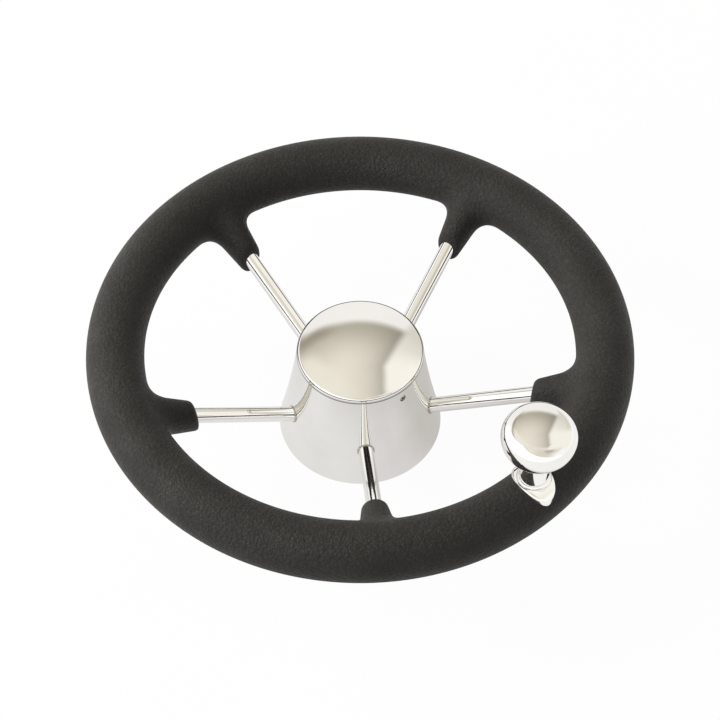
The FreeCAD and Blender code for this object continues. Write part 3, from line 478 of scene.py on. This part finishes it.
def boot_mesh(azimuth):
    start, axis, across, up = boot_frame(azimuth)
    rings = []
    for s in np.linspace(0.0, 0.033, 12):
        ring = start + axis * s + oval(*boot_halves(s), across, up, 48)
        if s == 0.0:
            # slide the first ring along the rod onto the upright end face
            out = outward(azimuth)
            ring = ring - np.outer((ring @ out - BOOT_END) / (axis @ out), axis)
        rings.append(ring)
    return tube(rings)


# ---------------------------------------------------------------- the grip's skin as a field
def smooth_max(a, b, k):
    h = np.maximum(k - np.abs(a - b), 0.0) / k
    return np.maximum(a, b) + h * h * k * 0.25


def ring_field(P):
    """Signed distance to the foam ring."""
    rho = np.hypot(P[:, 0], P[:, 1]) - RIM_RADIUS
    return np.hypot(rho, P[:, 2] - RIM_Z) - GRIP_RADIUS


def boot_field(P):
    """Signed distance, roughly, to the nearest of the five oval boots."""
    best = np.full(len(P), 1e9)
    for azimuth in SPOKE_AZIMUTHS:
        start, axis, across, up = boot_frame(azimuth)
        offset = P - start
        s, t, w = offset @ axis, offset @ across, offset @ up
        wide, high = boot_halves(np.clip(s, -0.006, 0.042))
        k0 = np.hypot(t / wide, w / high)
        k1 = np.hypot(t / wide**2, w / high**2) + 1e-9
        sides = k0 * (k0 - 1.0) / k1
        inner_end = BOOT_END - np.hypot(P[:, 0], P[:, 1])
        # the end face holds on this spoke's own side only
        x, y, _ = outward(azimuth)
        inner_end = np.where(P[:, 0] * x + P[:, 1] * y > 0, inner_end, 1.0)
        boot = np.maximum(smooth_max(sides, inner_end, 0.0030), s - 0.0400)
        best = np.minimum(best, boot)
    return best


def boot_reach(P):
    """How far along the nearest boot's rod each point lies."""
    turn = np.arctan2(P[:, 1], P[:, 0])
    best, reach = np.full(len(P), 1e9), np.zeros(len(P))
    for azimuth in SPOKE_AZIMUTHS:
        off = np.abs(np.angle(np.exp(1j * (turn - math.radians(azimuth)))))
        s = (P - rod_point(BOOT_END, azimuth)) @ rod_frame(azimuth)[0]
        reach = np.where(off < best, s, reach)
        best = np.minimum(best, off)
    return reach


def gradient(field, P, h=2e-5):
    slope = np.empty_like(P)
    for i in range(3):
        e = np.zeros(3)
        e[i] = h
        slope[:, i] = (field(P + e) - field(P - e)) / (2 * h)
    return slope


def grip_field(P):
    """Field and direction of the ring blended with its boots.

    The blend is widest where the skins cross steeply and fades out beyond the rim's middle.
    """
    a, b = ring_field(P), boot_field(P)
    ga, gb = gradient(ring_field, P), gradient(boot_field, P)
    na = np.linalg.norm(ga, axis=1, keepdims=True) + 1e-9
    nb = np.linalg.norm(gb, axis=1, keepdims=True) + 1e-9
    dot = np.sum(ga / na * gb / nb, axis=1)
    fade = np.clip((0.037 - boot_reach(P)) / 0.008, 0.0, 1.0)
    width = 0.0026 + 0.0080 * np.clip(1.0 - dot, 0.0, 1.2)
    k = width * fade * fade * (3.0 - 2.0 * fade) + 1e-5
    h = np.maximum(k - np.abs(a - b), 0.0) / k
    field = np.minimum(a, b) - h * h * k * 0.25
    share = np.clip(0.5 + 0.5 * (b - a) / k, 0, 1)[:, None]
    return field, ga * share + gb * (1 - share)


def project(P, rounds):
    """Moves points onto the skin, by at most 1.2 mm in each round."""
    for _ in range(rounds):
        field, slope = grip_field(P)
        move = (field / np.maximum(np.sum(slope * slope, axis=1), 0.2))[:, None] * slope
        length = np.linalg.norm(move, axis=1, keepdims=True)
        P = P - move * np.minimum(1.0, 0.0012 / np.maximum(length, 1e-12))
    return P


def relax(P, a, b, count):
    """Moves points half way to the mean of their neighbours over the edges (a, b)."""
    total = np.zeros_like(P)
    for i in range(3):
        total[:, i] = np.bincount(a, P[b, i], len(P)) + np.bincount(b, P[a, i], len(P))
    return P + 0.5 * (total / count[:, None] - P)


# ---------------------------------------------------------------- the foam grip
def voxel_skin():
    """The ring and its boots fused into one evenly meshed skin."""
    verts, faces = [], []
    for points, quads in [torus(GRIP_RADIUS, 480, 64)] + [boot_mesh(a) for a in SPOKE_AZIMUTHS]:
        faces += [tuple(i + len(verts) for i in quad) for quad in quads]
        verts += list(points)
    source = closed_mesh("grip_source", verts, faces)
    voxels = source.modifiers.new("voxels", "REMESH")
    voxels.mode = "VOXEL"
    voxels.voxel_size = 0.00118
    voxels.adaptivity = 0.0
    mesh = evaluated_mesh(source)
    bpy.data.objects.remove(source)
    return mesh


def solid_grip():
    mesh = voxel_skin()
    P = np.empty(len(mesh.vertices) * 3)
    mesh.vertices.foreach_get("co", P)
    P = P.reshape(-1, 3)
    ends = np.empty(len(mesh.edges) * 2, int)
    mesh.edges.foreach_get("vertices", ends)
    a, b = ends[0::2], ends[1::2]
    count = np.bincount(a, minlength=len(P)) + np.bincount(b, minlength=len(P))
    P = project(P, 3)
    for _ in range(3):
        P = project(relax(P, a, b, count), 2)
    P = project(P, 3)
    mesh.vertices.foreach_set("co", P.reshape(-1).astype(np.float32))
    mesh.update()
    return add_object("foam_grip_moulded", mesh)


def subtract(thing, name, shape):
    """Takes a closed shape (verts, faces) out of an object."""
    cutter = closed_mesh(name, *shape)
    cut = thing.modifiers.new(name, "BOOLEAN")
    cut.operation = "DIFFERENCE"
    cut.solver = "MANIFOLD"
    cut.object = cutter
    mesh = evaluated_mesh(thing)
    thing.modifiers.clear()
    # guards against a failed cut, which leaves next to nothing: the uncut mesh then stays
    spare = mesh
    if len(mesh.polygons) > 100:
        spare = thing.data
        thing.data = mesh
    bpy.data.meshes.remove(spare)
    bpy.data.objects.remove(cutter)


def make_grip():
    """The foam, with room for the core ring, the rods, and the knob's pedestal and bolt."""
    grip = solid_grip()
    subtract(grip, "core_room", torus(CORE_RADIUS + CLEARANCE, 360, 48))
    for azimuth in SPOKE_AZIMUTHS:
        axis = rod_frame(azimuth)[0]
        hole = cylinder(rod_point(0.086, azimuth), axis, 0.036, ROD_RADIUS + CLEARANCE)
        subtract(grip, "rod_room", hole)
    # the pedestal's hole opens upwards, the bolt's downwards
    for name, way, radius in (
        ("pedestal_room", 1.0, PEDESTAL_HOLE_RADIUS),
        ("bolt_room", -1.0, BOLT_HOLE_RADIUS),
    ):
        start = np.array([KNOB_X, KNOB_Y, RIM_Z + way * 0.003])
        subtract(grip, name, cylinder(start, np.array([0, 0, way]), 0.04, radius))
    grip.data.name = "foam_grip_moulded"
    grip.data.materials.clear()
    grip.data.materials.append(FOAM)
    for poly in grip.data.polygons:
        poly.use_smooth = True
    grip.data.set_sharp_from_angle(angle=math.radians(40))
    return grip


grip = make_grip()
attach(grip, "wheel")
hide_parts("foam_grip")


# ---------------------------------------------------------------- floor
def paper_material():
    """Paper that shows a different tone to the camera, to reflections and to diffuse light."""
    made = bpy.data.materials.new("floor_paper")
    g = Graph(made)
    at = g.node("ShaderNodeTexCoord").outputs["Object"]
    X, Y, _ = g.split(at)
    fibre = g.mix(g.noise(at, scale=9.0, detail=3.0), (0.035, 0.035, 0.035), (0.028, 0.028, 0.028))
    paper = g.node("ShaderNodeBsdfDiffuse", {"Color": fibre})
    # the tone polished metal picks up from the floor: greyer towards the right
    tone = g.mix(g.sector(X, Y, 160, 258, soft=44), (0.80, 0.795, 0.785), (0.85, 0.84, 0.82))
    tone = g.mix(g.sector(X, Y, 284, 345, soft=30), tone, (0.75, 0.725, 0.715))
    tone = g.mix(g.sector(X, Y, 322, 440, soft=40), tone, (0.60, 0.575, 0.545))
    # the rim's shade on the near side
    radius = g.hypot(X, Y)
    shade = g.mul(g.step(radius, 0.075, 0.13), g.sector(X, Y, 222, 345, soft=30))
    tone = g.mix(g.mul(shade, 0.50), tone, (0.42, 0.40, 0.385))
    tone = g.mix(g.mul(g.noise(at, scale=7.0), 0.16), tone, (0.58, 0.56, 0.54))
    # further out the paper is bright
    tone = g.mix(g.step(radius, 0.135, 0.18), tone, (0.99, 0.98, 0.965))
    rays = g.node("ShaderNodeLightPath").outputs
    glow = g.mix(rays["Is Camera Ray"], tone, (0.96, 0.96, 0.96))
    glow = g.mix(rays["Is Diffuse Ray"], glow, (0.22, 0.22, 0.235))
    shine = g.node("ShaderNodeEmission", {"Color": glow, "Strength": 1.0})
    lit = g.node("ShaderNodeAddShader", {0: paper.outputs[0], 1: shine.outputs[0]})
    # seen from below, the paper is clear
    toward_z = g.split(g.node("ShaderNodeNewGeometry").outputs["Incoming"])[2]
    below = g.math("LESS_THAN", toward_z, 0.0)
    clear = g.node("ShaderNodeBsdfTransparent").outputs[0]
    one_way = g.node("ShaderNodeMixShader", {0: below, 1: lit.outputs[0], 2: clear})
    g.node("ShaderNodeOutputMaterial", {0: one_way.outputs[0]})
    return made


FLOOR_RADIUS = 4
FLOOR_BOTTOM, FLOOR_TOP = -0.012, -0.0002
floor_rings = [
    [[FLOOR_RADIUS * math.cos(t), FLOOR_RADIUS * math.sin(t), z] for t in angles(96)]
    for z in (FLOOR_BOTTOM, FLOOR_TOP)
]
floor = new_mesh("floor", *tube(floor_rings))
floor.data.materials.append(paper_material())


# ---------------------------------------------------------------- world
def make_world():
    """A pale studio tent, painted by azimuth and by elevation in degrees."""
    world = bpy.data.worlds.new("studio")
    SCENE.world = world
    g = Graph(world)
    X, Y, Z = g.split(g.node("ShaderNodeTexCoord").outputs["Generated"])
    elevation = g.mul(g.math("ARCSINE", Z), TO_DEGREES)

    def panel(azimuth, height, soft):
        """1 inside ranges of azimuth and elevation; soft holds both edge widths."""
        (low, high), half = height, soft[1] / 2
        return g.mul(
            g.sector(X, Y, *azimuth, soft=soft[0]),
            g.step(elevation, low - half, low + half),
            g.step(elevation, high + half, high - half),
        )

    # low walls: warm white on the far side, white elsewhere
    sky = g.mix(g.sector(X, Y, 40, 125, soft=30), (1.08, 1.075, 1.06), (0.99, 0.97, 0.935))
    # the ceiling, from a third of the way up: dim low on the far side, pale overhead
    roof = g.mix(g.step(Z, 0.60, 0.97), (0.535, 0.495, 0.405), (0.965, 0.91, 0.79))
    left = panel(azimuth=(126, 246), height=(46, 120), soft=(16, 14))
    roof = g.mix(left, roof, (0.96, 0.925, 0.80))
    roof = g.mix(g.step(Y, 0.05, -0.15), roof, (0.90, 0.855, 0.75))
    sky = g.mix(g.step(elevation, 30.5, 38.0), sky, roof)
    # a dim olive patch low at the far left, then a grey-beige fold with a darker end
    # on the near side: azimuths, elevations, soft edges, colour, share
    for azimuth, height, soft, colour, share in (
        ((103, 128), (33, 41), (16, 8), (0.36, 0.315, 0.25), 0.85),
        ((252, 300), (6, 74), (30, 26), (0.76, 0.715, 0.60), 0.8),
        ((290, 322), (48, 68), (20, 16), (0.46, 0.425, 0.36), 0.8),
    ):
        sky = g.mix(g.mul(panel(azimuth, height, soft), share), sky, colour)
    # a white reflector, highest at the left, its top running down to both sides
    turn = g.azimuth(X, Y, 190)
    fall = g.math("MAXIMUM", g.mul(turn, 0.36), g.mul(turn, -0.60))
    under = g.math("SUBTRACT", g.math("SUBTRACT", 60.0, fall), elevation)
    white = g.mul(g.step(under, -2.5, 2.5), g.sector(X, Y, 136, 320, soft=12))
    sky = g.mix(white, sky, (1.24, 1.24, 1.22))
    # a large cream cloth on the right: a plane that bends over the zenith
    bend = g.mul(g.math("MAXIMUM", g.math("SUBTRACT", 0.34, Y), 0.0), 0.44)
    lean = g.add(g.mul(X, 0.862), g.mul(Y, -0.485), g.mul(Z, -0.149))
    cloth = g.math("SUBTRACT", g.add(lean, 0.09), bend)
    # shade that builds up towards the cloth's edge from behind
    behind = g.math("EXPONENT", g.mul(g.math("MINIMUM", cloth, 0.0), 5.5))
    behind = g.mul(behind, g.mul(g.step(elevation, 31.0, 38.0), g.step(Y, -0.12, 0.03)))
    sky = g.mix(g.mul(behind, 0.60), sky, (0.20, 0.18, 0.15))
    # the cloth itself, dimmer low on the far side
    dim = g.mul(g.step(Z, 0.95, 0.55, smooth=False), g.step(Y, 0.33, 0.53))
    front = g.mul(g.step(Y, -0.42, -0.16), g.step(elevation, 8.0, 20.0))
    cream = g.mix(dim, (1.04, 1.01, 0.92), (0.76, 0.725, 0.645))
    sky = g.mix(g.mul(g.step(cloth, -0.03, 0.055), front), sky, cream)
    # diffuse light sees a plain gradient, and the camera plain white
    rays = g.node("ShaderNodeLightPath").outputs
    rise = g.step(elevation, -20.0, 90.0, smooth=False)
    plain = g.mix(rise, (0.25, 0.25, 0.26), (0.60, 0.58, 0.545))
    sky = g.mix(rays["Is Diffuse Ray"], sky, plain)
    sky = g.mix(rays["Is Camera Ray"], sky, (1.3, 1.3, 1.3))
    background = g.node("ShaderNodeBackground", {"Color": sky, "Strength": 1.0})
    g.node("ShaderNodeOutputWorld", {0: background.outputs[0]})


make_world()


# ---------------------------------------------------------------- lights and camera
def aim(thing, place, target):
    thing.location = place
    thing.rotation_mode = "QUATERNION"
    look = Vector(target) - Vector(place)
    thing.rotation_quaternion = look.to_track_quat("-Z", "Y")


def area(name, place, size, watts, colour=(1, 1, 1)):
    """A rectangular light aimed at the wheel and hidden from reflections."""
    light = bpy.data.lights.new(name, "AREA")
    light.shape = "RECTANGLE"
    light.size, light.size_y = size
    light.energy = watts
    light.color = colour
    lamp = add_object(name, light)
    aim(lamp, place, (0, 0, 0.05))
    lamp.visible_glossy = False
    return lamp


# a broad soft source from the left, and a weak one from the far side
area("key", (-1.56, 0.10, 0.85), size=(1.3, 1.0), watts=45.0)
area("rear", (0.2, 1.3, 1.0), size=(1.2, 0.6), watts=7.0, colour=(1.0, 0.97, 0.92))
# a soft highlight from the left, on the foam only
gleam = area("gleam", (-1.42, 0.05, 0.98), size=(1.2, 0.8), watts=13.0)
gleam.visible_glossy = True
gleam.visible_camera = False
foam_lit = bpy.data.collections.new("foam_lit")
foam_lit.objects.link(grip)
gleam.light_linking.receiver_collection = foam_lit

camera = bpy.data.cameras.new("camera")
camera.sensor_width = 36.0
camera.lens = 93.76
camera.clip_start, camera.clip_end = 0.05, 50.0
eye = add_object("camera", camera)
aim(eye, (-0.04590, -0.58764, 0.82522), (-0.00099, -0.01151, 0.06576))
SCENE.camera = eye
SCENE.view_settings.view_transform = "Standard"
SCENE.view_settings.look = "None"
